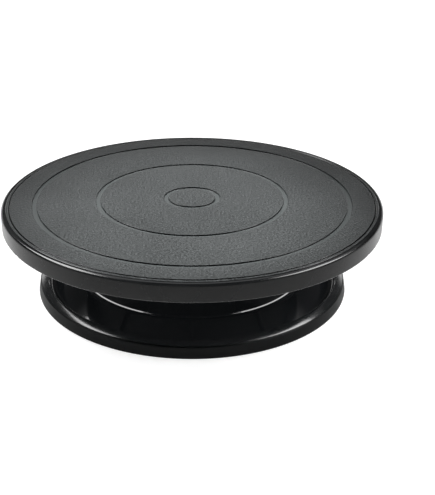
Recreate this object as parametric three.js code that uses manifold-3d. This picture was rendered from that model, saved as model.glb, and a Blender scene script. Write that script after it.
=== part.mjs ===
// A plastic cake turntable, 280 mm across: a ribbed round plate that turns on a ball bearing
// on top of a dished base, held down by a steel spindle. Millimetres, +Z up. The origin is
// on the turning axis, on the surface that the rubber feet stand on.

import * as THREE from 'three';
import { mergeVertices } from 'three/addons/utils/BufferGeometryUtils.js';
import Module from 'manifold-3d';

const wasm = await Module();
wasm.setup();

// Overall sizes.
const totalHeight = 70;
const plateRadius = 140;
const baseRadius = 116.5;
const seatGap = 0.2;
const cutMargin = 1;

// How finely round shapes are divided.
const roundSegments = 48;
const smallSegments = 24;
const footSegments = 20;
const pocketSegments = 16;
const ballSegments = 12;
const ballRings = 7;

// The plate.
const discThickness = 2.8;
const skirtDepth = 13.5;
const skirtWall = 2.2;
const skirtLip = 0.6;
const skirtRoot = 2;
const edgeRadius = 2.3;
const ledgeRadius = 133.8;
const ledgeGrooveWidth = 1;
const ledgeGrooveDepth = 0.9;
const ledgeDrop = 0.2;
const ringRadii = [19.2, 69.4, 116];
const ringWidth = 3.6;
const ringDepth = 1;
const drumRadius = 34;
const drumWall = 2.2;
const drumBottom = 19;
const plateRibCount = 8;
const plateRibWall = 1.8;
const plateRibInnerZ = 48;
const plateRibOuterZ = 60;

// The base.
const skirtFootZ = 1.6;
const baseWall = 2.2;
const shoulderRadius = 115.1;
const shoulderZ = 9.3;
const rimRound = 20;
const rimRoundInset = 14.3;
const rimRoundZ = -4.7;
const crestRadius = 109.6;
const crestZ = 13.2;
const crestInset = 1.2;
const crestDepth = 4;
const valleyRadius = 104.5;
const valleyZ = 4.6;
const valleyRound = 4;
const pedestalRadius = 89.3;
const pedestalZ = 16.4;
const pedestalRound = 3;
const pedestalRoundInset = 1.5;
const pedestalFallRadius = 81.2;
const floorZ = 15.2;
const towerRadius = 28.5;
const towerWall = 2.2;
const towerFootRound = 2;
const towerTopZ = 50;
const towerDeck = 3;
const baseRibCount = 12;
const baseRibWall = 1.8;
const baseRibDepth = 3;
const slopeRootDepth = 1.6;
const towerRibCount = 4;
const towerRibBottom = 30;

// The spindle and what it turns in.
const spindleRadius = 4;
const runningClearance = 0.1;
const threadRadius = 3;
const spindleChamfer = 0.6;
const spindleBottomZ = 16;
const spindleTopZ = 64.5;
const collarRadius = 6.4;
const collarThickness = 1.6;
const bossRadius = 9;
const bossBottom = 55;
const bushWall = 1.7;
const bushLength = 9;
const flangeRadius = 8.4;
const flangeThickness = 1;
const tubeRadius = 9;
const tubeBottomZ = 26;
const washerRadius = 9;
const washerThickness = 1.6;
const nutAcrossFlats = 10;
const nutSides = 6;
const nutHeight = 5.4;

// The bearing.
const ballCount = 12;
const ballRadius = 3;
const pitchRadius = 23;
const raceHalfWidth = 4.2;
const raceThickness = 1.8;
const raceGroove = 0.6;
const grooveRadius = ballRadius + seatGap;
const cageHalfWidth = 4.6;
const cageThickness = 2.6;
const pocketClearance = 0.25;

// The feet.
const footCount = 6;
const footCircleRadius = 92;
const footRadius = 7;
const footThickness = 2.4;
const footEdge = 0.6;
const pegRadius = 2.4;
const footBossRadius = 5;
const pegTopZ = 7.5;

const lowerRaceZ = towerTopZ + seatGap;
const ballZ = lowerRaceZ + raceThickness - raceGroove + seatGap + ballRadius;
const upperRaceZ = ballZ + ballRadius + seatGap - raceGroove;
const raceSeatZ = upperRaceZ + raceThickness + seatGap;
const discBottom = totalHeight - discThickness;
const washerTopZ = tubeBottomZ - flangeThickness - 2 * seatGap;
const threadTopZ = washerTopZ + seatGap;
const ceilingZ = floorZ - baseWall;
const floorMiddleZ = floorZ - baseWall / 2;
const valleyUnderZ = valleyZ - baseWall;
const slopeFootRadius = valleyRadius - valleyRound / 2;
const tubeHoleRadius = spindleRadius + runningClearance + bushWall + seatGap;
const footAngle = Math.PI / baseRibCount;

const blackGrained = { color: 0x2c2f30, roughness: 0.62, metalness: 0 };
const blackGloss = { color: 0x161718, roughness: 0.18, metalness: 0 };
const steel = { color: 0xb9bcbe, roughness: 0.35, metalness: 1 };
const polishedSteel = { color: 0xd8dadc, roughness: 0.12, metalness: 1 };
const nylon = { color: 0xe4e0d2, roughness: 0.5, metalness: 0 };
const rubber = { color: 0x1c1c1d, roughness: 0.85, metalness: 0 };

// An arc of [radius, height] points about a centre, from one angle to another in degrees.
function arc(centreR, centreZ, radius, from, to, steps) {
  const points = [];
  for (let step = 0; step <= steps; step += 1) {
    const angle = THREE.MathUtils.degToRad(from + (to - from) * step / steps);
    points.push([centreR + radius * Math.cos(angle), centreZ + radius * Math.sin(angle)]);
  }
  return points;
}

// A closed outline of [radius, height] points turned about +Z. An outline that starts and
// ends on the axis stays as it is, and any other one is closed on its first point.
function turned(outline, segments = roundSegments) {
  const points = outline.map(([radius, height]) => new THREE.Vector2(radius, height));
  if (THREE.ShapeUtils.area(points) < 0) points.reverse();
  const onAxis = points[0].x === 0 && points[points.length - 1].x === 0;
  if (!onAxis) points.push(points[0].clone());
  return new THREE.LatheGeometry(points, segments).rotateX(Math.PI / 2);
}

// A flat web: an outline of [radius, height] points made thick and stood at an angle.
function web(outline, thickness, angle) {
  const shape = new THREE.Shape(outline.map(([radius, height]) => new THREE.Vector2(radius, height)));
  const geometry = new THREE.ExtrudeGeometry(shape, { depth: thickness, bevelEnabled: false });
  geometry.translate(0, 0, -thickness / 2);
  return geometry.rotateX(Math.PI / 2).rotateZ(angle);
}

// An upright cylinder between two heights, with its axis at a point of the XY plane.
function post(x, y, radius, bottom, top, segments = smallSegments) {
  const height = top - bottom;
  const geometry = new THREE.CylinderGeometry(radius, radius, height, segments);
  return geometry.rotateX(Math.PI / 2).translate(x, y, bottom + height / 2);
}

function toSolid(geometry) {
  const bare = geometry.clone();
  bare.deleteAttribute('normal');
  bare.deleteAttribute('uv');
  const welded = mergeVertices(bare, 1e-4);
  const corners = welded.index.array;
  const kept = [];
  for (let i = 0; i < corners.length; i += 3) {
    const [a, b, c] = [corners[i], corners[i + 1], corners[i + 2]];
    if (a !== b && b !== c && c !== a) kept.push(a, b, c);
  }
  return new wasm.Manifold(new wasm.Mesh({
    numProp: 3,
    vertProperties: new Float32Array(welded.attributes.position.array),
    triVerts: new Uint32Array(kept),
  }));
}

function toGeometry(solid) {
  const mesh = solid.getMesh();
  const geometry = new THREE.BufferGeometry();
  geometry.setAttribute('position', new THREE.BufferAttribute(mesh.vertProperties, 3));
  geometry.setIndex(new THREE.BufferAttribute(mesh.triVerts, 1));
  geometry.computeVertexNormals();
  return geometry;
}

// Joins the first list of geometries and cuts the second list from the result.
function carved(joined, removed = []) {
  let solid = toSolid(joined[0]);
  for (const extra of joined.slice(1)) solid = solid.add(toSolid(extra));
  for (const tool of removed) solid = solid.subtract(toSolid(tool));
  return toGeometry(solid);
}

// Calls make(angle, index) for evenly spaced angles round the axis.
function around(count, make, firstAngle = 0) {
  return Array.from({ length: count }, (_, index) => make(firstAngle + 2 * Math.PI * index / count, index));
}

// The plate's section: the top with its channel rings, the groove, ledge and rounded edge round it,
// the skirt, and the underside in to the hub drum, the race seat and the middle boss.
function plateOutline() {
  const top = [[0, totalHeight]];
  for (const middle of ringRadii) {
    const inner = middle - ringWidth / 2;
    const outer = middle + ringWidth / 2;
    top.push([inner, totalHeight], [inner, totalHeight - ringDepth]);
    top.push([outer, totalHeight - ringDepth], [outer, totalHeight]);
  }
  top.push([ledgeRadius, totalHeight], [ledgeRadius, totalHeight - ledgeGrooveDepth]);
  top.push([ledgeRadius + ledgeGrooveWidth, totalHeight - ledgeDrop]);
  const edge = arc(plateRadius - edgeRadius, totalHeight - ledgeDrop - edgeRadius, edgeRadius, 90, 0, 4);
  const skirtBottom = totalHeight - skirtDepth;
  const skirt = [
    [plateRadius, skirtBottom + skirtLip], [plateRadius - skirtLip, skirtBottom],
    [plateRadius - skirtWall, skirtBottom], [plateRadius - skirtWall, discBottom - skirtRoot],
    [plateRadius - skirtWall - skirtRoot, discBottom],
  ];
  const drum = [
    [drumRadius, discBottom], [drumRadius, drumBottom],
    [drumRadius - drumWall, drumBottom], [drumRadius - drumWall, discBottom],
  ];
  const seat = [
    [pitchRadius + raceHalfWidth, discBottom], [pitchRadius + raceHalfWidth, raceSeatZ],
    [pitchRadius - raceHalfWidth, raceSeatZ], [pitchRadius - raceHalfWidth, discBottom],
  ];
  const boss = [[bossRadius, discBottom], [bossRadius, bossBottom], [0, bossBottom]];
  return [...top, ...edge, ...skirt, ...drum, ...seat, ...boss];
}

function plateRib(angle) {
  const root = discBottom + discThickness / 2;
  const inner = drumRadius - drumWall / 2;
  const outer = plateRadius - skirtWall / 2;
  const outline = [[inner, root], [inner, plateRibInnerZ], [outer, plateRibOuterZ], [outer, root]];
  return web(outline, plateRibWall, angle);
}

function turntablePlate() {
  const spindleHole = post(0, 0, spindleRadius + seatGap, bossBottom - cutMargin, spindleTopZ + seatGap);
  return carved([turned(plateOutline()), ...around(plateRibCount, plateRib)], [spindleHole]);
}

// The base's upper surface, from the foot of the outer skirt in to the middle of the deck:
// the rim's crowned sloping face, the valley inside its crest, the slope up to the pedestal's
// crest, the gentle fall from it to the raised floor, and the tower.
function baseSurface() {
  const rimFace = arc(shoulderRadius - rimRoundInset, rimRoundZ, rimRound, 48, 62, 3);
  const crest = [[crestRadius, crestZ], [crestRadius - crestInset, crestZ - crestDepth]];
  const valley = arc(valleyRadius, valleyZ + valleyRound, valleyRound, 330, 230, 3);
  const pedestalCentre = pedestalRadius - pedestalRoundInset;
  const pedestalCrest = arc(pedestalCentre, pedestalZ - pedestalRound, pedestalRound, 50, 98, 3);
  const towerFoot = arc(towerRadius + towerFootRound, floorZ + towerFootRound, towerFootRound, 270, 180, 2);
  return [
    [baseRadius, skirtFootZ], [shoulderRadius, shoulderZ], ...rimFace, ...crest, ...valley,
    ...pedestalCrest, [pedestalFallRadius, floorZ], ...towerFoot,
    [towerRadius, towerTopZ], [0, towerTopZ],
  ];
}

// The same surface one wall thickness down: the hollow underside of the base.
function baseUnderside() {
  const deckUnderZ = towerTopZ - towerDeck;
  const towerInner = towerRadius - towerWall;
  const rimHollowZ = crestZ - crestDepth - baseWall / 2;
  const rimHollowInner = crestRadius - crestInset + baseWall / 2;
  return [
    [0, deckUnderZ], [tubeHoleRadius, deckUnderZ], [tubeHoleRadius, tubeBottomZ],
    [tubeRadius, tubeBottomZ], [tubeRadius, deckUnderZ], [towerInner, deckUnderZ],
    [towerInner, ceilingZ], [pedestalRadius, ceilingZ], [slopeFootRadius, valleyUnderZ],
    [valleyRadius + valleyRound, valleyUnderZ], [rimHollowInner, rimHollowZ],
    [shoulderRadius - baseWall, rimHollowZ], [baseRadius - baseWall, skirtFootZ],
  ];
}

// The radius, at a height, of a line that runs inside the base's sloping wall.
function insideSlope(height) {
  const { mapLinear } = THREE.MathUtils;
  return mapLinear(height, ceilingZ, valleyUnderZ, pedestalRadius, slopeFootRadius) + slopeRootDepth;
}

function baseRib(angle) {
  const inner = towerRadius - towerWall / 2;
  const bottom = ceilingZ - baseRibDepth;
  const outline = [
    [inner, floorMiddleZ], [inner, bottom],
    [insideSlope(bottom), bottom], [insideSlope(ceilingZ), floorMiddleZ],
  ];
  return web(outline, baseRibWall, angle);
}

function towerRib(angle) {
  const top = towerTopZ - towerDeck / 2;
  const inner = (tubeRadius + tubeHoleRadius) / 2;
  const outer = towerRadius - towerWall / 2;
  const outline = [[inner, top], [inner, towerRibBottom], [outer, towerRibBottom], [outer, top]];
  return web(outline, baseRibWall, angle);
}

function footPlace(angle) {
  return [footCircleRadius * Math.cos(angle), footCircleRadius * Math.sin(angle)];
}

// A post for a foot's peg, its top trimmed to end inside the sloping wall above it.
function footBoss(angle) {
  const [x, y] = footPlace(angle);
  const boss = post(x, y, footBossRadius, footThickness + seatGap, floorZ, footSegments);
  const limit = turned([
    [0, 0], [insideSlope(0), 0], [insideSlope(ceilingZ), ceilingZ],
    [insideSlope(ceilingZ), floorMiddleZ], [0, floorMiddleZ],
  ]);
  return toGeometry(toSolid(boss).intersect(toSolid(limit)));
}

function pegHole(angle) {
  const [x, y] = footPlace(angle);
  return post(x, y, pegRadius + seatGap, 0, pegTopZ + seatGap, footSegments);
}

function baseShell() {
  const shell = turned([...baseSurface(), ...baseUnderside()]);
  const ribs = around(baseRibCount, baseRib);
  const towerRibs = around(towerRibCount, towerRib, Math.PI / towerRibCount);
  const footBosses = around(footCount, footBoss, footAngle);
  const pegHoles = around(footCount, pegHole, footAngle);
  const spindleHole = post(0, 0, tubeHoleRadius, 0, totalHeight);
  return carved([shell, ...ribs, ...towerRibs, ...footBosses], [...pegHoles, spindleHole]);
}

// A rubber foot with a rounded lower edge and a peg that is pushed into the base.
function rubberFoot() {
  return turned([
    [0, 0], ...arc(footRadius - footEdge, footEdge, footEdge, 270, 360, 2),
    [footRadius, footThickness], [pegRadius, footThickness], [pegRadius, pegTopZ], [0, pegTopZ],
  ], footSegments);
}

function spindle() {
  const collarTop = bossBottom - seatGap;
  const collarBottom = collarTop - collarThickness;
  return turned([
    [0, spindleBottomZ], [threadRadius - spindleChamfer, spindleBottomZ],
    [threadRadius, spindleBottomZ + spindleChamfer],
    [threadRadius, threadTopZ], [spindleRadius, threadTopZ], [spindleRadius, collarBottom],
    [collarRadius, collarBottom], [collarRadius, collarTop], [spindleRadius, collarTop],
    [spindleRadius, spindleTopZ - spindleChamfer], [spindleRadius - spindleChamfer, spindleTopZ],
    [0, spindleTopZ],
  ], smallSegments);
}

// A flanged bush with its flange at the given height and its sleeve above or below it.
function bush(flangeZ, direction) {
  const bore = spindleRadius + runningClearance;
  const outer = bore + bushWall;
  const far = flangeZ + direction * flangeThickness;
  const end = far - direction * (flangeThickness + bushLength);
  return turned([
    [bore, far], [flangeRadius, far], [flangeRadius, flangeZ], [outer, flangeZ],
    [outer, end], [bore, end],
  ], smallSegments);
}

function retainingWasher() {
  const hole = threadRadius + seatGap;
  const bottom = washerTopZ - washerThickness;
  const outline = [[hole, washerTopZ], [washerRadius, washerTopZ], [washerRadius, bottom], [hole, bottom]];
  return turned(outline, smallSegments);
}

function lockNut() {
  const corner = nutAcrossFlats / 2 / Math.cos(Math.PI / nutSides);
  const shape = new THREE.Shape(around(nutSides, (angle) => {
    return new THREE.Vector2(corner * Math.cos(angle), corner * Math.sin(angle));
  }));
  const hole = new THREE.Path();
  hole.absarc(0, 0, threadRadius + seatGap, 0, 2 * Math.PI, true);
  shape.holes.push(hole);
  const top = washerTopZ - washerThickness - seatGap;
  const options = { depth: nutHeight, bevelEnabled: false, curveSegments: smallSegments };
  return new THREE.ExtrudeGeometry(shape, options).translate(0, 0, top - nutHeight);
}

// A bearing race: a flat ring with a round groove in the face that the balls run on.
function race(backZ, direction) {
  const face = backZ + direction * raceThickness;
  const centre = face - direction * raceGroove + direction * grooveRadius;
  const half = THREE.MathUtils.radToDeg(Math.acos((grooveRadius - raceGroove) / grooveRadius));
  const middle = direction > 0 ? 270 : 90;
  return turned([
    [pitchRadius - raceHalfWidth, backZ], [pitchRadius + raceHalfWidth, backZ],
    [pitchRadius + raceHalfWidth, face],
    ...arc(pitchRadius, centre, grooveRadius, middle + direction * half, middle - direction * half, 2),
    [pitchRadius - raceHalfWidth, face],
  ]);
}

function ballPlace(angle) {
  return [pitchRadius * Math.cos(angle), pitchRadius * Math.sin(angle)];
}

function ballCage() {
  const bottom = ballZ - cageThickness / 2;
  const top = ballZ + cageThickness / 2;
  const ring = turned([
    [pitchRadius - cageHalfWidth, bottom], [pitchRadius + cageHalfWidth, bottom],
    [pitchRadius + cageHalfWidth, top], [pitchRadius - cageHalfWidth, top],
  ]);
  const pockets = around(ballCount, (angle) => {
    const [x, y] = ballPlace(angle);
    return post(x, y, ballRadius + pocketClearance, bottom - cutMargin, top + cutMargin, pocketSegments);
  });
  return carved([ring], pockets);
}

function ball() {
  return new THREE.SphereGeometry(ballRadius, ballSegments, ballRings);
}

const cakeTurntable = new THREE.Group();

function addPiece(name, geometry, finish, x = 0, y = 0, z = 0) {
  const mesh = new THREE.Mesh(geometry, new THREE.MeshStandardMaterial(finish));
  mesh.name = name;
  mesh.position.set(x, y, z);
  cakeTurntable.add(mesh);
}

addPiece('turntable_plate', turntablePlate(), blackGrained);
addPiece('upper_race', race(upperRaceZ + raceThickness, -1), steel);
addPiece('spindle', spindle(), steel);
addPiece('retaining_washer', retainingWasher(), steel);
addPiece('lock_nut', lockNut(), steel);
addPiece('ball_cage', ballCage(), nylon);
around(ballCount, (angle, index) => {
  const [x, y] = ballPlace(angle);
  addPiece(`ball_${String(index + 1).padStart(2, '0')}`, ball(), polishedSteel, x, y, ballZ);
});
addPiece('base_shell', baseShell(), blackGloss);
addPiece('lower_race', race(lowerRaceZ, 1), steel);
addPiece('upper_spindle_bush', bush(towerTopZ + seatGap, 1), nylon);
addPiece('lower_spindle_bush', bush(tubeBottomZ - seatGap, -1), nylon);
around(footCount, (angle, index) => {
  const [x, y] = footPlace(angle);
  addPiece(`rubber_foot_${index + 1}`, rubberFoot(), rubber, x, y);
}, footAngle);

export default cakeTurntable;
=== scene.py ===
"""A black plastic cake turntable: a grained plate on a ball bearing over a glossy, dished base."""

import math

import bmesh
import bpy
from mathutils import Matrix, Vector


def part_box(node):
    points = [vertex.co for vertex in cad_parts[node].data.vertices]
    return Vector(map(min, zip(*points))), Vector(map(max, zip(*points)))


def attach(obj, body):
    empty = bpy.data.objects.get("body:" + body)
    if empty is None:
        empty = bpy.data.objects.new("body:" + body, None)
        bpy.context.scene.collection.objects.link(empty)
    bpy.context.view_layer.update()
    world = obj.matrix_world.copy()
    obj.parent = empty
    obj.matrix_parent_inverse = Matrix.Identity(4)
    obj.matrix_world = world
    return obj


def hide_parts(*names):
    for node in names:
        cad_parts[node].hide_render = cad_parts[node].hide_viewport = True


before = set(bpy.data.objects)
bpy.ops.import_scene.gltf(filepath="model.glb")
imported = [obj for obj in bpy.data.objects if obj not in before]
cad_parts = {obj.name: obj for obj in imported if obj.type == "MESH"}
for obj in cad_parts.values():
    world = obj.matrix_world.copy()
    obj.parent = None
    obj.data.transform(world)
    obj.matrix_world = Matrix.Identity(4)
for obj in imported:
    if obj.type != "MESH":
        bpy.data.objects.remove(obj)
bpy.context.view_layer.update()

# Lengths are in millimetres until a mesh is made. MM turns them into the frame's metres.
MM = 0.001


def box_mm(node):
    low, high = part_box(node)
    return low / MM, high / MM


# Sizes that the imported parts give.
plate_low, plate_high = box_mm("turntable_plate")
base_low, base_high = box_mm("base_shell")
lower_race_low, lower_race_high = box_mm("lower_race")
upper_race_low, upper_race_high = box_mm("upper_race")
cage_low, cage_high = box_mm("ball_cage")
spindle_low, spindle_high = box_mm("spindle")
upper_bush_low, upper_bush_high = box_mm("upper_spindle_bush")
lower_bush_low, lower_bush_high = box_mm("lower_spindle_bush")
washer_low, washer_high = box_mm("retaining_washer")
nut_low, nut_high = box_mm("lock_nut")
foot_high = box_mm("rubber_foot_1")[1]
ball_low, ball_high = box_mm("ball_01")
balls = sorted(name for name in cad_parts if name.startswith("ball_") and name != "ball_cage")
feet = sorted(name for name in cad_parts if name.startswith("rubber_foot_"))

# How finely round pieces are made. Segments go round the axis, and steps go along an outline.
LARGE_SEGMENTS = 288
CAGE_SEGMENTS = 192
SMALL_SEGMENTS = 96
FOOT_SEGMENTS = 64
POCKET_SIDES = 64
FILLET_STEPS = 6
SHORT_ARC_STEPS = 8
LONG_ARC_STEPS = 10
GROOVE_STEPS = 12
SHARP_ANGLE = math.radians(32)

# A fillet takes up at most this share of the shorter side next to it.
FILLET_REACH = 0.49

# Points closer to the axis than this lie on it.
AXIS_R = 1e-6

# The gaps round seated and pressed pieces, and how far a cutter starts outside the surface it cuts.
SEAT_GAP = 0.2
PRESS_GAP = 0.1
CUT_MARGIN = 1.0

# The plate. EDGE_SHINE_END is the angle on the edge's round where the shine gives way to satin.
PLATE_R = plate_high.x
PLATE_TOP = plate_high.z
DISC_BOTTOM = PLATE_TOP - 2.8
SKIRT_BOTTOM = PLATE_TOP - 13.5
SKIRT_WALL = 2.2
LIP_ROUND = 0.8
EDGE_ROUND = 2.2
EDGE_SHINE_END = 36
LEDGE_R = 133.8
LEDGE_GROOVE_WIDTH = 1.0
LEDGE_GROOVE_DEPTH = 0.9
LEDGE_DROP = 0.2
CREASE_R = 136.4
CREASE_DROP = 0.12
STEP_SLOPE = 0.15
STEP_ROUND = 0.15
GROOVE_ROUND = 0.1
RING_LIP_ROUND = 0.2
RING_MIDDLES = (19.2, 69.4, 116.0)
RING_WIDTH = 3.6
RING_DEPTH = 1.0
DRUM_R = 34.0
DRUM_WALL = 2.2
PLATE_DRAFT = 0.2
PLATE_RIBS = 8
PLATE_RIB_WALLS = (2.2, 1.6)
RIB_INNER_Z = 48.0
RIB_OUTER_Z = 60.0
BOSS_R = 9.0
BOSS_BOTTOM = 55.0
PLATE_MARK_RINGS = (58.0, 112.0)

# The base. Each ARC holds two angles in degrees, with 0 pointing away from the axis and 90 up.
BASE_R = base_high.x
BASE_BOTTOM = base_low.z
BASE_WALL = 2.2
SHOULDER_R = 115.1
SHOULDER_Z = 9.3
RIM_ROUND = 20.0
RIM_ROUND_INSET = 14.3
RIM_ROUND_Z = -4.7
RIM_ARC = (48, 62)
CREST_R = 109.6
CREST_Z = 13.2
CREST_INSET = 1.2
CREST_DEPTH = 4.0
VALLEY_R = 104.5
VALLEY_Z = 4.6
VALLEY_ROUND = 4.0
VALLEY_ARC = (330, 230)
PEDESTAL_R = 89.3
PEDESTAL_Z = 16.4
PEDESTAL_ROUND = 3.0
PEDESTAL_ROUND_INSET = 1.5
PEDESTAL_ARC = (50, 90)
PEDESTAL_FALL_ROUND = 10.0
PEDESTAL_FALL_ARC = (90, 118)
PEDESTAL_FOOT_R = 82.4
PEDESTAL_FOOT_WIDTH = 0.5
FLOOR_Z = 15.2
CEILING_Z = FLOOR_Z - BASE_WALL
FLOOR_MIDDLE_Z = FLOOR_Z - BASE_WALL / 2
TOWER_R = 28.5
TOWER_WALL = 2.2
TOWER_DRAFT = 0.3
TOWER_TOP = base_high.z
DECK_UNDER_Z = TOWER_TOP - 3.0
TUBE_R = 9.0
TUBE_HOLE_R = 6.0
TUBE_BOTTOM = 26.0
BASE_RIBS = 12
BASE_RIB_DEPTH = 3.0
BASE_RIB_WALLS = (2.0, 1.5)
SLOPE_ROOT_DEPTH = 1.6
TOWER_RIBS = 4
TOWER_RIB_BOTTOM = 30.0
FOOT_BOSS_R = 5.0
PEG_HOLE_R = 2.6
BASE_MARK_RING = 62.0

# Round marks that a mould's ejector pins leave.
MARK_R = 3.5
MARK_DEPTH = 0.25

# The bearing, the spindle and the feet.
PITCH_R = 23.0
BALL_R = (ball_high.z - ball_low.z) / 2
GROOVE_R = BALL_R + SEAT_GAP
GROOVE_DEPTH = 0.6
RACE_INNER = 2 * PITCH_R - upper_race_high.x
POCKET_R = BALL_R + 0.25
SPINDLE_R = 4.0
COLLAR_R = 6.4
COLLAR_THICKNESS = 1.6
THREAD_R = 3.0
THREAD_PITCH = 1.0
THREAD_DEPTH = 0.5
THREAD_ROWS_PER_TURN = 8
BUSH_BORE = 4.1
BUSH_R = 5.8
FLANGE_R = 8.4
FLANGE_THICKNESS = 1.0
BOLT_HOLE_R = 3.2
NUT_SIDES = 6
FOOT_R = 7.0
FOOT_THICKNESS = 2.4
PEG_R = 2.4


# ---------------------------------------------------------------- outlines and meshes

def arc(centre_r, centre_z, radius, start, end, steps=FILLET_STEPS):
    """Outline corners along an arc, from one angle to another in degrees."""
    corners = []
    for step in range(steps + 1):
        angle = math.radians(start + (end - start) * step / steps)
        corners.append((centre_r + radius * math.cos(angle), centre_z + radius * math.sin(angle), 0))
    return corners


def painted(number, corners):
    """The same corners, each with the number of the material of the surface that follows it."""
    return [(*corner[:3], number) for corner in corners]


def rounded(corners, closed):
    """Turns (radius, height, fillet) corners into outline points, with an arc at each fillet.

    Each point is (radius, height, material number).
    """
    points = []
    count = len(corners)
    for i, (radius, height, fillet, *number) in enumerate(corners):
        number = number[0] if number else 0
        corner = Vector((radius, height))
        if fillet <= 0 or (not closed and i in (0, count - 1)):
            points.append((*corner, number))
            continue
        before = Vector(corners[i - 1][:2]) - corner
        after = Vector(corners[(i + 1) % count][:2]) - corner
        half_angle = before.angle(after) / 2
        shorter = min(before.length, after.length)
        reach = min(fillet / math.tan(half_angle), FILLET_REACH * shorter)
        fillet = reach * math.tan(half_angle)
        start = corner + before.normalized() * reach
        end = corner + after.normalized() * reach
        inward = (before.normalized() + after.normalized()).normalized()
        centre = corner + inward * fillet / math.sin(half_angle)
        spoke_a, spoke_b = start - centre, end - centre
        sweep = spoke_a.angle(spoke_b)
        for step in range(FILLET_STEPS + 1):
            share = step / FILLET_STEPS
            weight_a = math.sin((1 - share) * sweep) / math.sin(sweep)
            weight_b = math.sin(share * sweep) / math.sin(sweep)
            points.append((*(centre + spoke_a * weight_a + spoke_b * weight_b), number))
    return points


def new_object(name, build):
    """Makes a mesh object from a bmesh that build fills in, in millimetres."""
    mesh = bpy.data.meshes.new(name)
    shape = bmesh.new()
    build(shape)
    bmesh.ops.recalc_face_normals(shape, faces=shape.faces)
    bmesh.ops.scale(shape, vec=(MM, MM, MM), verts=shape.verts)
    shape.to_mesh(mesh)
    shape.free()
    piece = bpy.data.objects.new(name, mesh)
    bpy.context.scene.collection.objects.link(piece)
    return piece


def turned(name, corners, segments=SMALL_SEGMENTS, cut=None):
    """Turns an outline about +Z. It starts and ends on the axis, or it closes on itself.

    cut(radius, height, angle) may change the radius on the way round, as a thread does.
    """
    closed = not (corners[0][0] == 0 and corners[-1][0] == 0)
    outline = rounded(corners, closed)

    def build(shape):
        rings = []
        for radius, height, _ in outline:
            if radius < AXIS_R:
                rings.append([shape.verts.new((0, 0, height))] * segments)
                continue
            ring = []
            for k in range(segments):
                angle = 2 * math.pi * k / segments
                here = cut(radius, height, angle) if cut else radius
                ring.append(shape.verts.new((here * math.cos(angle), here * math.sin(angle), height)))
            rings.append(ring)
        pairs = list(zip(rings, rings[1:]))
        if closed:
            pairs.append((rings[-1], rings[0]))
        for (ring_a, ring_b), (_, _, number) in zip(pairs, outline):
            for k in range(segments):
                after = (k + 1) % segments
                around_face = [ring_a[k], ring_a[after], ring_b[after], ring_b[k]]
                unique = list(dict.fromkeys(around_face))
                if len(unique) > 2:
                    shape.faces.new(unique).material_index = number
    return new_object(name, build)


def prism(sides, number):
    """A closed body between two outlines of the same number of points."""
    def build(shape):
        first, last = ([shape.verts.new(point) for point in side] for side in sides)
        shape.faces.new(first)
        shape.faces.new(last)
        for k in range(len(first)):
            after = (k + 1) % len(first)
            shape.faces.new((first[k], first[after], last[after], last[k]))
        for face in shape.faces:
            face.material_index = number
    return new_object("tool", build)


def upright(x, y, radius, low, high, number, sides=48):
    """A straight post, round or with a few flat sides, between two heights."""
    outline = []
    for angle in around(sides):
        outline.append((x + radius * math.cos(angle), y + radius * math.sin(angle)))
    return prism([[(*point, height) for point in outline] for height in (low, high)], number)


def web(outline, walls, angle, number):
    """A moulded rib with an upright outline of (radius, height) corners.

    Its first and last corner lie at its root. walls holds its thickness there and at its thin edge.
    """
    root_wall, edge_wall = walls
    sides = []
    for sign in (-1, 1):
        side = []
        for i, (radius, height) in enumerate(outline):
            wall = root_wall if i in (0, len(outline) - 1) else edge_wall
            side.append(Matrix.Rotation(angle, 3, "Z") @ Vector((radius, sign * wall / 2, height)))
        sides.append(side)
    return prism(sides, number)


def merged(tools):
    """Gathers loose tools that don't touch each other into one object."""
    first = tools[0]
    shape = bmesh.new()
    for tool in tools:
        shape.from_mesh(tool.data)
    shape.to_mesh(first.data)
    shape.free()
    for tool in tools[1:]:
        bpy.data.objects.remove(tool)
    return first


def boolean(piece, operation, tool):
    """Applies a boolean in place and removes its tool."""
    for material in piece.data.materials:
        tool.data.materials.append(material)
    modifier = piece.modifiers.new("boolean", "BOOLEAN")
    modifier.operation = operation
    modifier.solver = "EXACT"
    modifier.object = tool
    bpy.context.view_layer.update()
    result = bpy.data.meshes.new_from_object(piece.evaluated_get(bpy.context.evaluated_depsgraph_get()))
    piece.modifiers.clear()
    piece.data = result
    result.name = piece.name
    bpy.data.objects.remove(tool)


def around(count, first_angle=0.0):
    return [first_angle + 2 * math.pi * k / count for k in range(count)]


def on_circle(radius, angle):
    return radius * math.cos(angle), radius * math.sin(angle)


# ---------------------------------------------------------------- materials

# Most of a noise texture's values lie between these two.
NOISE_LOW = 0.35
NOISE_HIGH = 0.65

# A faint painted glow on the base's gloss and rim, which are no lamps: it stands for the light that is
# scattered in the dark gap under the plate.
PAINTED_GAP_GLOW = {"Emission_Color": (0.8, 0.9, 1, 1), "Emission_Strength": 0.0035}


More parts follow.
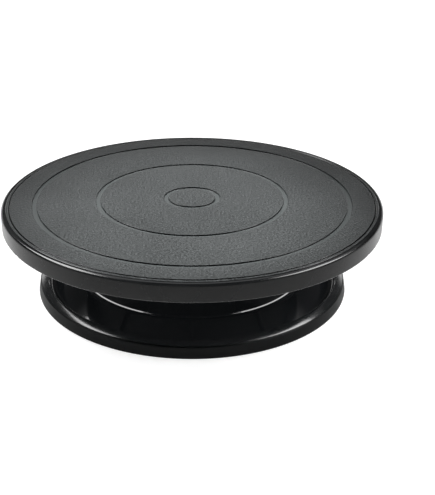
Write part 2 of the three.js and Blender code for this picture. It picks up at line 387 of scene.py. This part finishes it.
class Look:
    """A node material under construction, with short helpers for its nodes."""

    def __init__(self, name):
        self.material = bpy.data.materials.new(name)
        self.material.use_nodes = True
        self.nodes = self.material.node_tree.nodes
        self.links = self.material.node_tree.links
        self.shader = self.nodes["Principled BSDF"]
        self.place = self.nodes.new("ShaderNodeTexCoord").outputs["Object"]

    def set(self, **values):
        for socket, value in values.items():
            self.shader.inputs[socket.replace("_", " ")].default_value = value

    def noise(self, scale, detail=4.0, roughness=0.55, place=None):
        node = self.nodes.new("ShaderNodeTexNoise")
        node.inputs["Scale"].default_value = scale
        node.inputs["Detail"].default_value = detail
        node.inputs["Roughness"].default_value = roughness
        self.links.new(place or self.place, node.inputs["Vector"])
        return node.outputs["Fac"]

    def cells(self, scale):
        node = self.nodes.new("ShaderNodeTexVoronoi")
        node.feature = "SMOOTH_F1"
        node.inputs["Scale"].default_value = scale
        self.links.new(self.place, node.inputs["Vector"])
        return node.outputs["Distance"]

    def spread(self, value, low, high, from_low=NOISE_LOW, from_high=NOISE_HIGH):
        """Turns a noise value into one between low and high."""
        node = self.nodes.new("ShaderNodeMapRange")
        node.inputs["From Min"].default_value = from_low
        node.inputs["From Max"].default_value = from_high
        node.inputs["To Min"].default_value = low
        node.inputs["To Max"].default_value = high
        self.links.new(value, node.inputs["Value"])
        return node.outputs["Result"]

    def blend(self, value, dark, light, from_low=NOISE_LOW, from_high=NOISE_HIGH):
        """Mixes two colours by a noise value."""
        share = self.spread(value, 0.0, 1.0, from_low, from_high)
        node = self.nodes.new("ShaderNodeMix")
        node.data_type = "RGBA"
        node.inputs["A"].default_value = (*dark, 1)
        node.inputs["B"].default_value = (*light, 1)
        self.links.new(share, node.inputs["Factor"])
        return node.outputs["Result"]

    def math(self, operation, first, second):
        node = self.nodes.new("ShaderNodeMath")
        node.operation = operation
        for socket, value in zip(node.inputs, (first, second)):
            if isinstance(value, (int, float)):
                socket.default_value = value
            else:
                self.links.new(value, socket)
        return node.outputs[0]

    def radius(self):
        """The distance from the turning axis and the height, with no change on the way round."""
        split = self.nodes.new("ShaderNodeSeparateXYZ")
        self.links.new(self.place, split.inputs[0])
        squares = [self.math("MULTIPLY", split.outputs[k], split.outputs[k]) for k in (0, 1)]
        distance = self.math("SQRT", self.math("ADD", squares[0], squares[1]), 0.0)
        join = self.nodes.new("ShaderNodeCombineXYZ")
        self.links.new(distance, join.inputs[0])
        self.links.new(split.outputs[2], join.inputs[2])
        return join.outputs[0]

    def bump(self, height, distance, strength=1.0):
        node = self.nodes.new("ShaderNodeBump")
        node.inputs["Strength"].default_value = strength
        node.inputs["Distance"].default_value = distance
        self.links.new(height, node.inputs["Height"])
        return node.outputs["Normal"]

    def finish(self, colour=None, roughness=None, normal=None):
        for socket, value in (("Base Color", colour), ("Roughness", roughness), ("Normal", normal)):
            if value is not None:
                self.links.new(value, self.shader.inputs[socket])
        return self.material


def grained_plastic():
    """The plate's top: a fine spark-eroded mould grain with faint cloudy changes in its sheen."""
    look = Look("grained_plastic")
    look.set(Specular_IOR_Level=0.10)
    cloud = look.noise(14.0, 3.0)
    grain = look.noise(700.0, 2.0, 0.6)
    pits = look.cells(800.0)
    height = look.math("ADD", grain, look.math("MULTIPLY", pits, 0.6))
    fleck = look.math("ADD", look.math("MULTIPLY", grain, 0.85), look.math("MULTIPLY", cloud, 0.15))
    colour = look.blend(fleck, (0.0022, 0.0024, 0.0024), (0.0139, 0.0148, 0.0149))
    roughness = look.spread(fleck, 0.46, 0.60)
    return look.finish(colour, roughness, look.bump(height, 0.0003, 0.8))


def channel_painted_light_plastic():
    """The floors of the plate's channels: the same plastic, polished a little smoother, in a lighter
    colour that paints a highlight along each channel.
    """
    look = Look("channel_painted_light_plastic")
    look.set(Specular_IOR_Level=0.15)
    grain = look.noise(1300.0, 3.0, 0.6)
    colour = look.blend(grain, (0.0095, 0.0104, 0.0104), (0.0135, 0.0148, 0.0148))
    return look.finish(colour, look.spread(grain, 0.34, 0.42), look.bump(grain, 0.00005, 0.5))


def edge_and_wall_shade_plastic():
    """The plate's ledge and rounded edge: smooth, with a soft shine. Its near-black colour is painted
    shade that darkens the edge's round, the ledge's groove and the channel walls into dark lines.
    """
    look = Look("edge_and_wall_shade_plastic")
    look.set(Specular_IOR_Level=0.5)
    cloud = look.noise(35.0, 4.0)
    skin = look.noise(2000.0, 2.0)
    colour = look.blend(cloud, (0.0007, 0.0008, 0.0009), (0.0012, 0.0013, 0.0014))
    return look.finish(colour, look.spread(cloud, 0.15, 0.20), look.bump(skin, 0.00003, 0.35))


def satin_plastic():
    """The plate's skirt: a dark satin, duller than the edge above it."""
    look = Look("satin_plastic")
    look.set(Specular_IOR_Level=0.19)
    cloud = look.noise(30.0, 4.0)
    skin = look.noise(2200.0, 2.0)
    colour = look.blend(cloud, (0.0020, 0.0022, 0.0023), (0.0034, 0.0037, 0.0038))
    return look.finish(colour, look.spread(cloud, 0.24, 0.31), look.bump(skin, 0.00003, 0.35))


def moulded_underside():
    """Hidden moulded faces: plain, slightly streaked by the mould's flow."""
    look = Look("moulded_underside")
    look.set(Specular_IOR_Level=0.4)
    flow = look.noise(40.0, 5.0, 0.6)
    skin = look.noise(900.0, 2.0)
    colour = look.blend(flow, (0.006, 0.0065, 0.007), (0.010, 0.011, 0.011))
    return look.finish(colour, look.spread(flow, 0.34, 0.48), look.bump(skin, 0.00005, 0.4))


def gloss_plastic():
    """The base: glossy black with the slight ripple that moulded gloss has, and a little dust."""
    look = Look("gloss_plastic")
    # The faint glow is painted light.
    look.set(Specular_IOR_Level=0.5, **PAINTED_GAP_GLOW)
    ripple = look.noise(55.0, 2.0)
    dust = look.noise(700.0, 5.0, 0.7)
    colour = look.blend(dust, (0.004, 0.0045, 0.005), (0.008, 0.0085, 0.009), 0.58, 0.8)
    return look.finish(colour, look.spread(dust, 0.06, 0.11), look.bump(ripple, 0.0002, 0.10))


def base_skirt_plastic():
    """The base's outer skirt: a duller satin black."""
    look = Look("base_skirt_plastic")
    look.set(Specular_IOR_Level=0.07)
    cloud = look.noise(45.0, 4.0)
    skin = look.noise(1800.0, 2.0)
    colour = look.blend(cloud, (0.0025, 0.003, 0.0032), (0.0045, 0.005, 0.0052))
    return look.finish(colour, look.spread(cloud, 0.40, 0.48), look.bump(skin, 0.00003, 0.3))


def rim_plastic():
    """The crowned face of the base's rim: polished, with faint handling haze."""
    look = Look("rim_plastic")
    # The faint glow is painted light.
    look.set(Specular_IOR_Level=0.5, **PAINTED_GAP_GLOW)
    haze = look.noise(60.0, 4.0)
    skin = look.noise(2000.0, 2.0)
    colour = look.blend(haze, (0.0035, 0.004, 0.0042), (0.007, 0.0075, 0.0078))
    return look.finish(colour, look.spread(haze, 0.15, 0.20), look.bump(skin, 0.00002, 0.3))


def turned_steel():
    look = Look("turned_steel")
    look.set(Metallic=1.0)
    lines = look.noise(5200.0, 2.0, 0.5, look.radius())
    cloud = look.noise(160.0, 3.0)
    colour = look.blend(cloud, (0.50, 0.51, 0.52), (0.62, 0.63, 0.64))
    return look.finish(colour, look.spread(lines, 0.22, 0.38), look.bump(lines, 0.00002, 0.5))


def ball_steel():
    look = Look("ball_steel")
    look.set(Metallic=1.0)
    haze = look.noise(900.0, 4.0)
    colour = look.blend(haze, (0.70, 0.71, 0.72), (0.80, 0.81, 0.82))
    return look.finish(colour, look.spread(haze, 0.05, 0.11))


def nylon():
    look = Look("nylon")
    look.set(Subsurface_Weight=0.25, Subsurface_Scale=0.002)
    cloud = look.noise(220.0, 4.0)
    skin = look.noise(2400.0, 2.0)
    colour = look.blend(cloud, (0.70, 0.66, 0.56), (0.80, 0.77, 0.68))
    return look.finish(colour, look.spread(cloud, 0.38, 0.52), look.bump(skin, 0.00003, 0.4))


def rubber():
    look = Look("rubber")
    cloud = look.noise(300.0, 5.0, 0.65)
    skin = look.noise(3000.0, 3.0)
    colour = look.blend(cloud, (0.014, 0.014, 0.015), (0.032, 0.032, 0.033))
    return look.finish(colour, look.spread(cloud, 0.70, 0.88), look.bump(skin, 0.00006, 0.6))


# The number of each material on the plate, on the base and on a piece with a single material.
GRAINED, CHANNEL_PAINTED_LIGHT, EDGE_AND_WALL_SHADE, SATIN, PLATE_HIDDEN = range(5)
SKIRT, RIM, GLOSS, BASE_HIDDEN = range(4)
ONLY_LOOK = 0
HIDDEN_LOOK = moulded_underside()
PLATE_LOOKS = (grained_plastic(), channel_painted_light_plastic(), edge_and_wall_shade_plastic(), satin_plastic(), HIDDEN_LOOK)
BASE_LOOKS = (base_skirt_plastic(), rim_plastic(), gloss_plastic(), HIDDEN_LOOK)
STEEL_LOOK = turned_steel()
BALL_LOOK = ball_steel()
NYLON_LOOK = nylon()
RUBBER_LOOK = rubber()


def dress(piece, *looks):
    for look in looks:
        piece.data.materials.append(look)


def place(piece, body, slot, node):
    """Puts a finished piece in the frame: its body and the node that it stands for. The name of its
    finish is not used.
    """
    piece.data.shade_smooth()
    piece.data.set_sharp_from_angle(angle=SHARP_ANGLE)
    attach(piece, body)
    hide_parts(node)


def mould_mark(ring, angle, surface_z, number):
    """The cutter for one ejector mark in an underside."""
    low, high = surface_z - CUT_MARGIN, surface_z + MARK_DEPTH
    return upright(*on_circle(ring, angle), MARK_R, low, high, number)


# ---------------------------------------------------------------- the plate

def plate_top_corners():
    """From the middle of the top out to the lip of the skirt."""
    grained = [(0, PLATE_TOP, 0, GRAINED)]
    channel_z = PLATE_TOP - RING_DEPTH
    for middle in RING_MIDDLES:
        inner = middle - RING_WIDTH / 2
        outer = middle + RING_WIDTH / 2
        # Each channel's walls take the near-black edge plastic, painted shade that darkens them into
        # lines, and its floor a lighter colour that is a painted highlight.
        grained += [
            (inner, PLATE_TOP, RING_LIP_ROUND, EDGE_AND_WALL_SHADE),
            (inner + STEP_SLOPE, channel_z, STEP_ROUND, CHANNEL_PAINTED_LIGHT),
            (outer - STEP_SLOPE, channel_z, STEP_ROUND, EDGE_AND_WALL_SHADE),
            (outer, PLATE_TOP, RING_LIP_ROUND, GRAINED),
        ]
    ledge_z = PLATE_TOP - LEDGE_DROP
    crease_z = ledge_z - CREASE_DROP
    # The ledge's groove takes the near-black edge plastic too: painted shade that darkens it into a line.
    grained += [
        (LEDGE_R, PLATE_TOP, STEP_ROUND, EDGE_AND_WALL_SHADE),
        (LEDGE_R + STEP_SLOPE, PLATE_TOP - LEDGE_GROOVE_DEPTH, GROOVE_ROUND, EDGE_AND_WALL_SHADE),
        (LEDGE_R + LEDGE_GROOVE_WIDTH, ledge_z, GROOVE_ROUND, GRAINED),
        (CREASE_R, ledge_z, GROOVE_ROUND, EDGE_AND_WALL_SHADE),
    ]
    edge_centre = (PLATE_R - EDGE_ROUND, crease_z - EDGE_ROUND)
    edge = [(CREASE_R + STEP_SLOPE, crease_z, GROOVE_ROUND)]
    edge += arc(*edge_centre, EDGE_ROUND, 90, EDGE_SHINE_END, SHORT_ARC_STEPS)
    skirt = arc(*edge_centre, EDGE_ROUND, EDGE_SHINE_END, 0)
    skirt += arc(PLATE_R - LIP_ROUND, SKIRT_BOTTOM + LIP_ROUND, LIP_ROUND, 0, -90)
    return grained + painted(EDGE_AND_WALL_SHADE, edge) + painted(SATIN, skirt)


def plate_under_corners():
    """From the skirt's lip in to the hole for the spindle."""
    inside_skirt = PLATE_R - SKIRT_WALL
    inside_drum = DRUM_R - DRUM_WALL
    under = [
        (inside_skirt, SKIRT_BOTTOM, 0.5), (inside_skirt - PLATE_DRAFT, DISC_BOTTOM, 2.0),
        (DRUM_R + PLATE_DRAFT, DISC_BOTTOM, 1.0), (DRUM_R, plate_low.z, 0.5),
        (inside_drum, plate_low.z, 0.5), (inside_drum - PLATE_DRAFT, DISC_BOTTOM, 0.8),
    ]
    seat_z = upper_race_high.z + SEAT_GAP
    seat = [
        (upper_race_high.x, DISC_BOTTOM, 0.5), (upper_race_high.x, seat_z, 0.3),
        (RACE_INNER, seat_z, 0.3), (RACE_INNER, DISC_BOTTOM, 0.5),
    ]
    hole_r = SPINDLE_R + PRESS_GAP
    hole_z = spindle_high.z + SEAT_GAP
    boss = [
        (BOSS_R + PLATE_DRAFT, DISC_BOTTOM, 0.6), (BOSS_R, BOSS_BOTTOM, 0.4),
        (hole_r, BOSS_BOTTOM, 0.3), (hole_r, hole_z, 0), (0, hole_z, 0),
    ]
    return painted(PLATE_HIDDEN, under + seat + boss)


def make_plate():
    plate = turned("plate", plate_top_corners() + plate_under_corners(), LARGE_SEGMENTS)
    dress(plate, *PLATE_LOOKS)
    root = (PLATE_TOP + DISC_BOTTOM) / 2
    inner = DRUM_R - DRUM_WALL / 2
    outer = PLATE_R - SKIRT_WALL / 2
    outline = [(inner, root), (inner, RIB_INNER_Z), (outer, RIB_OUTER_Z), (outer, root)]
    ribs = [web(outline, PLATE_RIB_WALLS, angle, PLATE_HIDDEN) for angle in around(PLATE_RIBS)]
    boolean(plate, "UNION", merged(ribs))
    marks = []
    for ring in PLATE_MARK_RINGS:
        for angle in around(PLATE_RIBS, math.pi / PLATE_RIBS):
            marks.append(mould_mark(ring, angle, DISC_BOTTOM, PLATE_HIDDEN))
    boolean(plate, "DIFFERENCE", merged(marks))
    place(plate, "plate", "grained_black_plastic", "turntable_plate")


# ---------------------------------------------------------------- the base

def base_surface_corners():
    """From the foot of the outer skirt in to the deck on top of the tower."""
    skirt = [(BASE_R, BASE_BOTTOM, 0.4), (SHOULDER_R, SHOULDER_Z, 0.6)]
    face = arc(SHOULDER_R - RIM_ROUND_INSET, RIM_ROUND_Z, RIM_ROUND, *RIM_ARC, SHORT_ARC_STEPS)
    bowl = [(CREST_R, CREST_Z, 0.5), (CREST_R - CREST_INSET, CREST_Z - CREST_DEPTH, 1.5)]
    bowl += arc(VALLEY_R, VALLEY_Z + VALLEY_ROUND, VALLEY_ROUND, *VALLEY_ARC, LONG_ARC_STEPS)
    highest_r = PEDESTAL_R - PEDESTAL_ROUND_INSET
    front_centre_z = PEDESTAL_Z - PEDESTAL_ROUND
    fall_centre_z = PEDESTAL_Z - PEDESTAL_FALL_ROUND
    bowl += arc(highest_r, front_centre_z, PEDESTAL_ROUND, *PEDESTAL_ARC, SHORT_ARC_STEPS)
    bowl += arc(highest_r, fall_centre_z, PEDESTAL_FALL_ROUND, *PEDESTAL_FALL_ARC, LONG_ARC_STEPS)
    bowl += [(PEDESTAL_FOOT_R, FLOOR_Z, 0.5), (PEDESTAL_FOOT_R - PEDESTAL_FOOT_WIDTH, FLOOR_Z, 0)]
    bowl += [(TOWER_R, FLOOR_Z, 2.0), (TOWER_R - TOWER_DRAFT, TOWER_TOP, 0.5)]
    return painted(SKIRT, skirt) + painted(RIM, face) + painted(GLOSS, bowl)


def base_under_corners():
    """The hollow underside, from the spindle's tube out to the foot of the skirt."""
    tower_inside = TOWER_R - TOWER_WALL
    valley_under = VALLEY_Z - BASE_WALL
    rim_hollow_r = CREST_R - CREST_INSET + BASE_WALL / 2
    rim_hollow_z = CREST_Z - CREST_DEPTH - BASE_WALL / 2
    return painted(BASE_HIDDEN, [
        (TUBE_HOLE_R, TOWER_TOP, 0.3), (TUBE_HOLE_R, TUBE_BOTTOM, 0.3), (TUBE_R, TUBE_BOTTOM, 0.4),
        (TUBE_R, DECK_UNDER_Z, 0.8), (tower_inside, DECK_UNDER_Z, 0.8),
        (tower_inside, CEILING_Z, 1.0), (PEDESTAL_R, CEILING_Z, 1.5),
        (VALLEY_R - VALLEY_ROUND / 2, valley_under, 2.0), (VALLEY_R + VALLEY_ROUND, valley_under, 1.0),
        (rim_hollow_r, rim_hollow_z, 0.8), (SHOULDER_R - BASE_WALL, rim_hollow_z, 0.8),
        (BASE_R - BASE_WALL, BASE_BOTTOM, 0.4),
    ])


def inside_slope(height):
    """The radius, at a height, of a line that runs inside the base's sloping wall."""
    slope_foot_r = VALLEY_R - VALLEY_ROUND / 2
    share = (CEILING_Z - height) / (CEILING_Z - VALLEY_Z + BASE_WALL)
    return PEDESTAL_R + (slope_foot_r - PEDESTAL_R) * share + SLOPE_ROOT_DEPTH


def foot_centre(node):
    low, high = box_mm(node)
    return (low.x + high.x) / 2, (low.y + high.y) / 2


def foot_bosses():
    """A post for each foot's peg, trimmed to end inside the sloping wall above it."""
    low = FOOT_THICKNESS + SEAT_GAP
    posts = [upright(*foot_centre(foot), FOOT_BOSS_R, low, FLOOR_Z, BASE_HIDDEN) for foot in feet]
    bosses = merged(posts)
    limit = turned("tool", painted(BASE_HIDDEN, [
        (0, 0, 0), (inside_slope(0), 0, 0), (inside_slope(CEILING_Z), CEILING_Z, 0),
        (inside_slope(CEILING_Z), FLOOR_MIDDLE_Z, 0), (0, FLOOR_MIDDLE_Z, 0),
    ]))
    boolean(bosses, "INTERSECT", limit)
    return bosses


def base_ribs():
    inner = TOWER_R - TOWER_WALL / 2
    bottom = CEILING_Z - BASE_RIB_DEPTH
    outline = [
        (inner, FLOOR_MIDDLE_Z), (inner, bottom),
        (inside_slope(bottom), bottom), (inside_slope(CEILING_Z), FLOOR_MIDDLE_Z),
    ]
    return [web(outline, BASE_RIB_WALLS, angle, BASE_HIDDEN) for angle in around(BASE_RIBS)]


def tower_ribs():
    inner = (TUBE_R + TUBE_HOLE_R) / 2
    outer = TOWER_R - TOWER_WALL / 2
    top = (TOWER_TOP + DECK_UNDER_Z) / 2
    outline = [(inner, top), (inner, TOWER_RIB_BOTTOM), (outer, TOWER_RIB_BOTTOM), (outer, top)]
    angles = around(TOWER_RIBS, math.pi / TOWER_RIBS)
    return [web(outline, BASE_RIB_WALLS, angle, BASE_HIDDEN) for angle in angles]


def make_base():
    base = turned("base", base_surface_corners() + base_under_corners(), LARGE_SEGMENTS)
    dress(base, *BASE_LOOKS)
    boolean(base, "UNION", merged(base_ribs() + tower_ribs() + [foot_bosses()]))
    hole_top = foot_high.z + SEAT_GAP
    holes = [upright(*foot_centre(foot), PEG_HOLE_R, 0, hole_top, BASE_HIDDEN) for foot in feet]
    mark_angles = around(BASE_RIBS, math.pi / BASE_RIBS)
    marks = [mould_mark(BASE_MARK_RING, angle, CEILING_Z, BASE_HIDDEN) for angle in mark_angles]
    boolean(base, "DIFFERENCE", merged(holes + marks))
    place(base, "base", "glossy_black_plastic", "base_shell")


def make_foot(node):
    """A rubber foot: a sole with a dimple and a groove, and a barbed peg that sits in the base."""
    groove_z = 0.3
    slope = 0.2
    dimple_r = 1.5
    groove_inner, groove_outer = 3.5, 4.3
    sole = [
        (0, groove_z, 0), (dimple_r, groove_z, 0.1), (dimple_r + slope, 0, 0.1),
        (groove_inner - slope, 0, 0.1), (groove_inner, groove_z, 0.1),
        (groove_outer, groove_z, 0.1), (groove_outer + slope, 0, 0.1),
        (FOOT_R, 0, 0.7), (FOOT_R, FOOT_THICKNESS, 0.3),
    ]
    neck_r = PEG_R - 0.25
    tip_r = PEG_R - 0.8
    barb_z = foot_high.z - 2.2
    taper_z = barb_z + 0.5
    peg = [
        (neck_r, FOOT_THICKNESS, 0.2), (neck_r, barb_z, 0.1), (PEG_R, barb_z, 0.15),
        (PEG_R, taper_z, 0.2), (tip_r, foot_high.z, 0.3), (0, foot_high.z, 0),
    ]
    foot = turned(node + "_moulded", sole + peg, FOOT_SEGMENTS)
    foot.data.transform(Matrix.Translation((*(value * MM for value in foot_centre(node)), 0)))
    dress(foot, RUBBER_LOOK)
    place(foot, "base", "black_rubber", node)


# ---------------------------------------------------------------- the bearing and the spindle

def make_race(node, body, back, face):
    """A flat steel ring with a round groove in the face that the balls run on."""
    side = 1 if face > back else -1
    outer = upper_race_high.x
    centre = face + side * (GROOVE_R - GROOVE_DEPTH)
    half = math.degrees(math.acos((GROOVE_R - GROOVE_DEPTH) / GROOVE_R))
    down = -90 * side
    edge_round = 0.25
    corners = [(RACE_INNER, back, edge_round), (outer, back, edge_round), (outer, face, edge_round)]
    corners += arc(PITCH_R, centre, GROOVE_R, down + side * half, down - side * half, GROOVE_STEPS)
    corners += [(RACE_INNER, face, edge_round)]
    race = turned(node + "_ground", corners)
    dress(race, STEEL_LOOK)
    place(race, body, "plain_steel", node)


def make_cage():
    """A nylon ring with a pocket for each ball."""
    inner = 2 * PITCH_R - cage_high.x
    edge_round = 0.4
    cage = turned("ball_cage_moulded", [
        (inner, cage_low.z, edge_round), (cage_high.x, cage_low.z, edge_round),
        (cage_high.x, cage_high.z, edge_round), (inner, cage_high.z, edge_round),
    ], CAGE_SEGMENTS)
    dress(cage, NYLON_LOOK)
    bottom, top = cage_low.z - CUT_MARGIN, cage_high.z + CUT_MARGIN
    pockets = []
    for ball in balls:
        low, high = box_mm(ball)
        centre = (low + high) / 2
        pockets.append(upright(centre.x, centre.y, POCKET_R, bottom, top, ONLY_LOOK, POCKET_SIDES))
    boolean(cage, "DIFFERENCE", merged(pockets))
    place(cage, "bearing_cage", "natural_nylon", "ball_cage")


def make_ball(node):
    """A polished ball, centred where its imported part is."""
    low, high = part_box(node)
    mesh = bpy.data.meshes.new(node + "_polished")
    shape = bmesh.new()
    bmesh.ops.create_icosphere(shape, subdivisions=4, radius=BALL_R * MM)
    bmesh.ops.translate(shape, verts=shape.verts, vec=(low + high) / 2)
    shape.to_mesh(mesh)
    shape.free()
    ball = bpy.data.objects.new(node + "_polished", mesh)
    bpy.context.scene.collection.objects.link(ball)
    dress(ball, BALL_LOOK)
    place(ball, "rolling_" + node, "polished_ball_steel", node)


def make_spindle():
    """A turned steel spindle: a plain end for the plate's boss, a collar, and a rolled thread."""
    chamfer = 0.6
    thread_low = spindle_low.z + chamfer
    thread_high = washer_high.z + SEAT_GAP
    collar_high = BOSS_BOTTOM - SEAT_GAP
    collar_low = collar_high - COLLAR_THICKNESS
    run_out = THREAD_PITCH

    def thread(radius, height, angle):
        if not thread_low < height < thread_high - run_out / 2:
            return radius
        turn = height / THREAD_PITCH - angle / (2 * math.pi)
        depth = THREAD_DEPTH * min(1, (thread_high - height) / run_out)
        return radius - depth * abs(2 * (turn % 1) - 1)

    corners = [(0, spindle_low.z, 0), (THREAD_R - chamfer, spindle_low.z, 0), (THREAD_R, thread_low, 0)]
    rows = round((thread_high - thread_low) / THREAD_PITCH * THREAD_ROWS_PER_TURN)
    for row in range(1, rows):
        corners.append((THREAD_R, thread_low + (thread_high - thread_low) * row / rows, 0))
    corners += [
        (THREAD_R, thread_high, 0.1), (SPINDLE_R, thread_high, 0.3), (SPINDLE_R, collar_low, 0.2),
        (COLLAR_R, collar_low, 0.3), (COLLAR_R, collar_high, 0.3), (SPINDLE_R, collar_high, 0.2),
        (SPINDLE_R, spindle_high.z - chamfer, 0.1), (SPINDLE_R - chamfer, spindle_high.z, 0.1),
        (0, spindle_high.z, 0),
    ]
    spindle = turned("spindle_turned", corners, SMALL_SEGMENTS, thread)
    dress(spindle, STEEL_LOOK)
    place(spindle, "plate", "plain_steel", "spindle")


def make_bush(node, flange_face, sleeve_end):
    """A flanged nylon bush, with its flange's outer face and its sleeve's end at two heights."""
    side = 1 if flange_face > sleeve_end else -1
    seat = flange_face - side * FLANGE_THICKNESS
    bush = turned(node + "_moulded", [
        (BUSH_BORE, flange_face, 0.3), (FLANGE_R, flange_face, 0.3), (FLANGE_R, seat, 0.2),
        (BUSH_R, seat, 0.2), (BUSH_R, sleeve_end, 0.4), (BUSH_BORE, sleeve_end, 0.2),
    ])
    dress(bush, NYLON_LOOK)
    place(bush, "base", "natural_nylon", node)


def make_washer():
    outer = washer_high.x
    washer = turned("retaining_washer_stamped", [
        (BOLT_HOLE_R, washer_high.z, 0.15), (outer, washer_high.z, 0.35),
        (outer, washer_low.z, 0.1), (BOLT_HOLE_R, washer_low.z, 0.1),
    ])
    dress(washer, STEEL_LOOK)
    place(washer, "plate", "plain_steel", "retaining_washer")


def make_nut():
    """A hexagon nut with its corners chamfered on both faces, and a countersunk hole."""
    nut = upright(0, 0, nut_high.x, nut_low.z, nut_high.z, ONLY_LOOK, NUT_SIDES)
    nut.name = "lock_nut_forged"
    dress(nut, STEEL_LOOK)
    chamfer_drop = 0.5
    clearance = 0.1
    flat_r = nut_high.x * math.cos(math.pi / NUT_SIDES) - clearance
    widest = nut_high.x + clearance
    overshoot = 0.01
    bottom, top = nut_low.z - overshoot, nut_high.z + overshoot
    boolean(nut, "INTERSECT", turned("tool", [
        (0, bottom, 0), (flat_r, bottom, 0), (widest, nut_low.z + chamfer_drop, 0),
        (widest, nut_high.z - chamfer_drop, 0), (flat_r, top, 0), (0, top, 0),
    ]))
    sink = 0.6
    boolean(nut, "DIFFERENCE", turned("tool", [
        (0, nut_low.z - sink, 0), (BOLT_HOLE_R + 2 * sink, nut_low.z - sink, 0),
        (BOLT_HOLE_R, nut_low.z + sink, 0), (BOLT_HOLE_R, nut_high.z - sink, 0),
        (BOLT_HOLE_R + 2 * sink, nut_high.z + sink, 0), (0, nut_high.z + sink, 0),
    ]))
    place(nut, "plate", "plain_steel", "lock_nut")


make_plate()
make_base()
for foot_node in feet:
    make_foot(foot_node)
make_race("lower_race", "base", lower_race_low.z, lower_race_high.z)
make_race("upper_race", "plate", upper_race_high.z, upper_race_low.z)
make_cage()
for ball_node in balls:
    make_ball(ball_node)
make_spindle()
make_bush("upper_spindle_bush", upper_bush_high.z, upper_bush_low.z)
make_bush("lower_spindle_bush", lower_bush_low.z, lower_bush_high.z)
make_washer()
make_nut()


# ---------------------------------------------------------------- floor, light and camera

# The floor is in millimetres, as every mesh here is. The lamps and the camera are in metres.
FLOOR_HALF_SIZE = 30000
SOFTBOX_DISTANCE = 1.6


def make_floor():
    """A pale floor that reaches far past the view and glows, so that it stays almost white."""
    def build(shape):
        corners = []
        for x, y in ((-1, -1), (1, -1), (1, 1), (-1, 1)):
            corners.append(shape.verts.new((x * FLOOR_HALF_SIZE, y * FLOOR_HALF_SIZE, 0)))
        shape.faces.new(corners)
    floor = new_object("floor", build)
    look = Look("pale_floor")
    look.set(Roughness=0.9, Base_Color=(0.38, 0.38, 0.38, 1), Specular_IOR_Level=0.1)
    look.set(Emission_Color=(1, 1, 1, 1), Emission_Strength=0.82)
    dress(floor, look.material)


def make_world():
    """A plain studio, bright overhead, with a backdrop that is bright only low down behind the object.

    The camera's side is dim. Y points away from the camera and Z points up.
    """
    world = bpy.data.worlds.new("studio")
    bpy.context.scene.world = world
    world.use_nodes = True
    nodes, links = world.node_tree.nodes, world.node_tree.links
    split = nodes.new("ShaderNodeSeparateXYZ")
    links.new(nodes.new("ShaderNodeTexCoord").outputs["Generated"], split.inputs[0])

    def ramp(axis, from_low, from_high, low, high):
        """A smooth change of brightness between two heights, or between two depths."""
        node = nodes.new("ShaderNodeMapRange")
        node.interpolation_type = "SMOOTHSTEP"
        node.inputs["From Min"].default_value = from_low
        node.inputs["From Max"].default_value = from_high
        node.inputs["To Min"].default_value = low
        node.inputs["To Max"].default_value = high
        links.new(split.outputs[axis], node.inputs["Value"])
        return node.outputs["Result"]

    def combine(operation, first, second):
        node = nodes.new("ShaderNodeMath")
        node.operation = operation
        links.new(first, node.inputs[0])
        links.new(second, node.inputs[1])
        return node.outputs[0]

    ceiling_depth = ramp("Y", -0.10, 0.45, 0.06, 1.0)
    ceiling_height = ramp("Z", 0.50, 0.72, 0.05, 1.0)
    ceiling = combine("MULTIPLY", ceiling_depth, ceiling_height)
    backdrop_depth = ramp("Y", 0.72, 0.90, 0.0, 1.0)
    backdrop_height = ramp("Z", 0.12, 0.22, 2.4, 0.0)
    backdrop = combine("MULTIPLY", backdrop_depth, backdrop_height)
    links.new(combine("ADD", ceiling, backdrop), nodes["Background"].inputs["Strength"])
    nodes["Background"].inputs["Color"].default_value = (1, 1, 1, 1)


def make_softbox(name, azimuth, elevation, size, radiance):
    """A soft light that faces the object. Its azimuth runs in degrees from +Y towards +X."""
    lamp = bpy.data.lights.new(name, "AREA")
    lamp.shape = "RECTANGLE"
    lamp.size, lamp.size_y = size
    lamp.energy = radiance * math.pi * size[0] * size[1]
    holder = bpy.data.objects.new(name, lamp)
    turn, lift = math.radians(azimuth), math.radians(elevation)
    away = Vector((math.sin(turn) * math.cos(lift), math.cos(turn) * math.cos(lift), math.sin(lift)))
    holder.location = away * SOFTBOX_DISTANCE
    holder.rotation_euler = (-away).to_track_quat("-Z", "Y").to_euler()
    holder.visible_camera = False
    bpy.context.scene.collection.objects.link(holder)


def make_spot():
    """A soft spot from above, brightest on the plate's middle and slightly narrower from side to side."""
    lamp = bpy.data.lights.new("spot", "SPOT")
    lamp.energy = 700
    lamp.spot_size = math.radians(16.5)
    lamp.spot_blend = 0.8
    lamp.shadow_soft_size = 0.03
    holder = bpy.data.objects.new("spot", lamp)
    holder.visible_glossy = False
    holder.location = (-0.006, -0.026, 1.25)
    holder.scale.x = 0.91
    bpy.context.scene.collection.objects.link(holder)


def make_camera():
    """A camera in front of the object that looks down at the plate."""
    lens = bpy.data.cameras.new("camera")
    lens.sensor_width = 36
    lens.lens = 70.8
    lens.shift_x = 0.0513
    lens.clip_end = 100
    holder = bpy.data.objects.new("camera", lens)
    distance = 0.723
    elevation = math.radians(22.24)
    aim_above_centre = math.radians(2.95)
    top = PLATE_TOP * MM
    holder.location = (0, -distance * math.cos(elevation), top + distance * math.sin(elevation))
    holder.rotation_euler = (math.radians(90) - elevation - aim_above_centre, 0, 0)
    bpy.context.scene.collection.objects.link(holder)
    bpy.context.scene.camera = holder


make_floor()
make_world()
make_softbox("left_softbox", azimuth=-76, elevation=49, size=(1.25, 0.66), radiance=12)
make_softbox("right_softbox", azimuth=99, elevation=41, size=(1.04, 0.70), radiance=11.5)
make_spot()
make_camera()
bpy.context.scene.view_settings.view_transform = "Standard"
